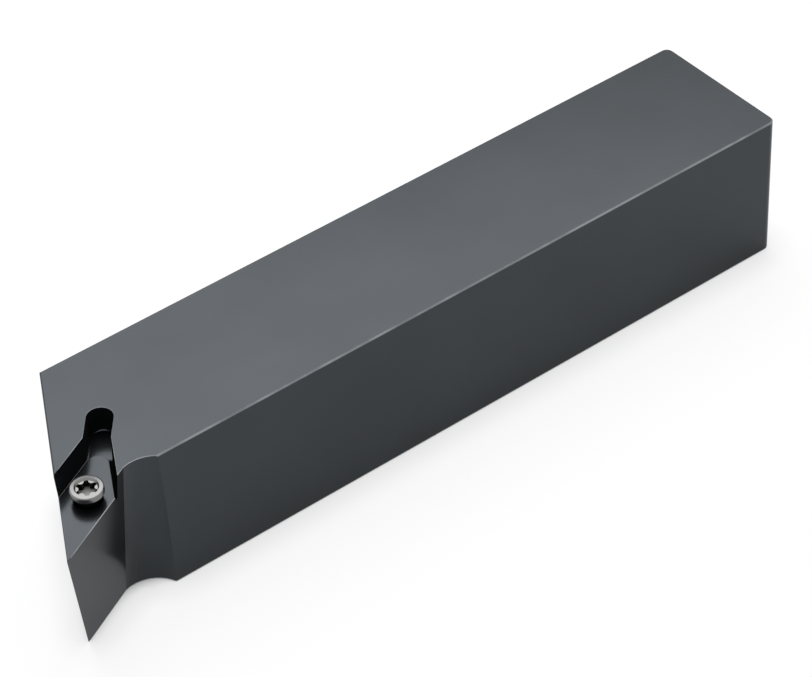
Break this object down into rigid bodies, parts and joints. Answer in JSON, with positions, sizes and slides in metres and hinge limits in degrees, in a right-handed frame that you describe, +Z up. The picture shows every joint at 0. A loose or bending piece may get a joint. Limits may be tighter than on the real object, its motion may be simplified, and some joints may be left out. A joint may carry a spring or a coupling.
{
  "type": "turning tool holder",
  "caption": "Square-shank external turning tool holder with an angled head, an open insert pocket, a relief slot and a six-lobe clamp screw.",
  "frame": {"origin": "middle of the underside of the parallel shank", "axes": "+X along the shank to the cutting tip, +Y to the cutting side, +Z up from the base"},
  "size_m": [0.1705, 0.0395, 0.032],
  "materials": {
    "blackened_steel": "matt black oxide",
    "screw_steel": "satin"
  },
  "bodies": {
    "holder": {"holder_body": "blackened_steel"},
    "screw": {"clamp_screw": "screw_steel"}
  },
  "joints": [
    {"name": "clamp_screw_travel", "type": "slide", "parent": "holder", "child": "screw", "axis": [0, 0, 1], "range_m": [-0.0004, 0.0098]}
  ]
}
